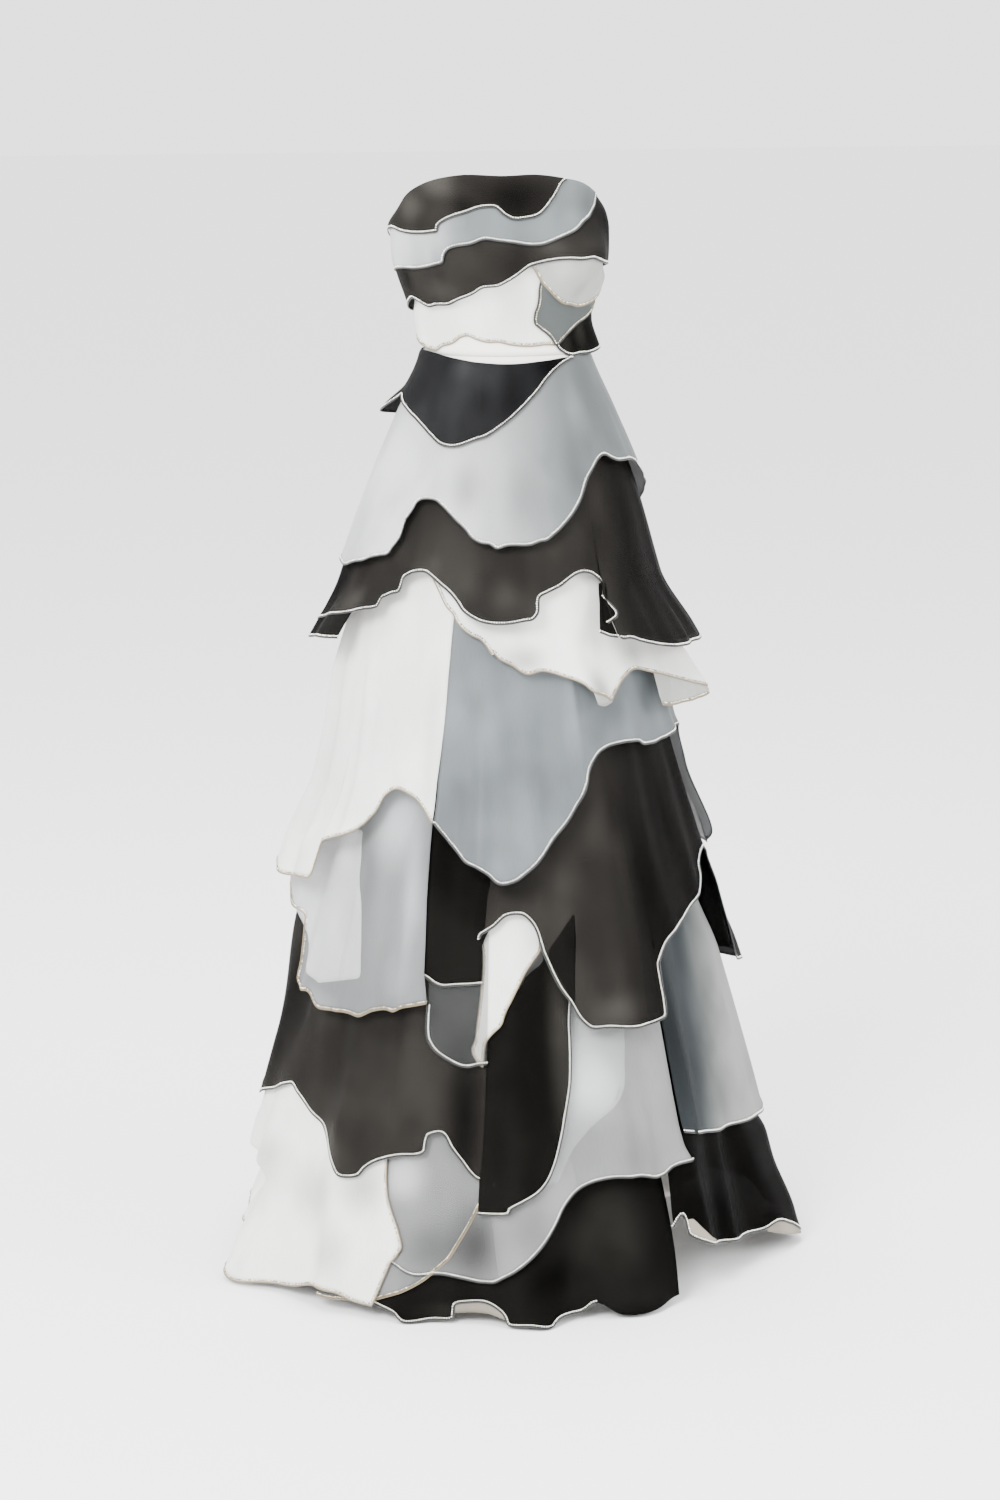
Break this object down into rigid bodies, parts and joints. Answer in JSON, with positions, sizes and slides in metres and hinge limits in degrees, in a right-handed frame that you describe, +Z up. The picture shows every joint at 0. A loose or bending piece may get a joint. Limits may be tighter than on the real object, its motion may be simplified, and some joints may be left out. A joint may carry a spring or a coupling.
{
  "type": "strapless tiered gown",
  "caption": "Strapless floor-length gown: fitted bodice and flared skirt of overlapping sheer black, grey and white layers with wavy crystal-trimmed edges.",
  "frame": {"origin": "centre of the waist seam, where the wearer's waist holds the gown", "axes": "+Z up the wearer's body, -Y to the front of the gown, +X to the wearer's left"},
  "size_m": [0.7117, 0.6552, 1.3139],
  "materials": {
    "black_organza": "sheer crisp organza, soft satin glow",
    "grey_organza": "sheer crisp organza, soft satin glow",
    "white_organza": "sheer crisp organza, soft satin glow",
    "ivory_foundation": "matt satin-weave lining"
  },
  "bodies": {
    "root": {"bodice_base": "ivory_foundation", "bodice_black_top": "black_organza", "bodice_grey_upper": "grey_organza", "bodice_black_middle": "black_organza", "bodice_white_cup": "white_organza", "bodice_grey_side": "grey_organza", "bodice_white_front": "white_organza", "bodice_black_side": "black_organza", "underskirt": "ivory_foundation", "yoke_black": "black_organza", "yoke_grey": "grey_organza", "hip_black": "black_organza", "hip_white": "white_organza", "thigh_white": "white_organza", "thigh_grey": "grey_organza", "knee_white": "white_organza", "knee_black": "black_organza", "knee_black_inner": "black_organza", "knee_grey": "grey_organza", "tongue_white": "white_organza", "tongue_black": "black_organza", "calf_black": "black_organza", "calf_white": "white_organza", "calf_pale": "white_organza", "calf_grey": "grey_organza", "calf_side": "black_organza", "hem_black": "black_organza"}
  },
  "joints": []
}
